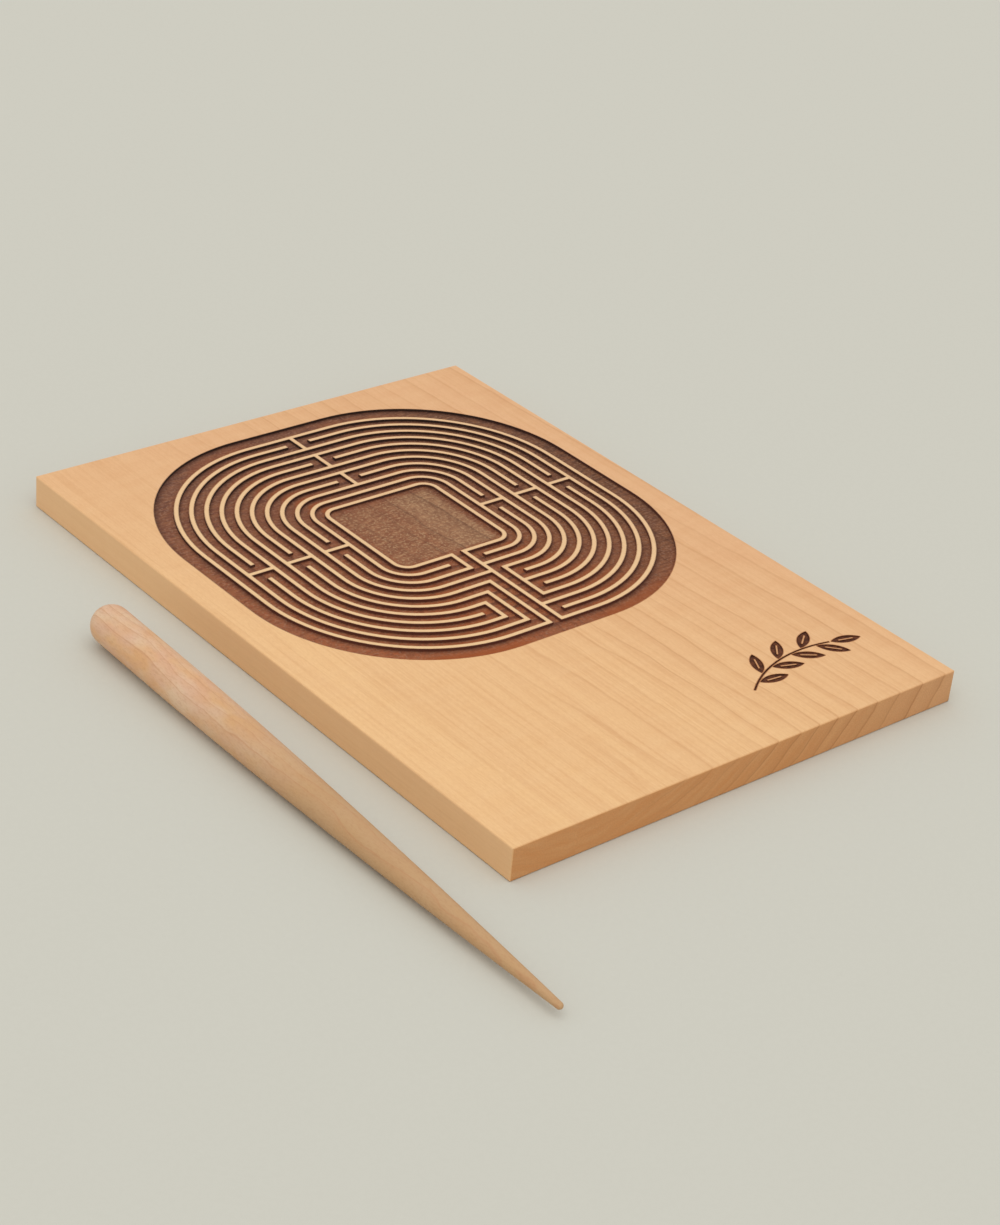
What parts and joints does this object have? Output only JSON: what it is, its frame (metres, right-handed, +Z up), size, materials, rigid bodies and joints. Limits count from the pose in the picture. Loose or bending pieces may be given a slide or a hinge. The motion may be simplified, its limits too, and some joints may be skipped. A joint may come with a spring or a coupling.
{
  "type": "finger labyrinth board",
  "caption": "Flat wooden board with a rounded-square labyrinth cut into its face, and the tapered wooden stylus that traces the lanes.",
  "frame": {"origin": "on the table, under the middle of the board", "axes": "+Z up from the board's face, +Y along the board's length towards the labyrinth end, +X across the board, away from the stylus"},
  "size_m": [0.2133, 0.3065, 0.0141],
  "materials": {
    "board_wood": "sanded, lanes scorched brown",
    "stylus_wood": "turned and sanded"
  },
  "bodies": {
    "board": {"board": "board_wood"},
    "stylus": {"stylus": "stylus_wood"}
  },
  "joints": [
    {"name": "stylus_lift", "type": "slide", "parent": "board", "child": "stylus", "axis": [0, 0, 1], "range_m": [0, 0.12]}
  ]
}
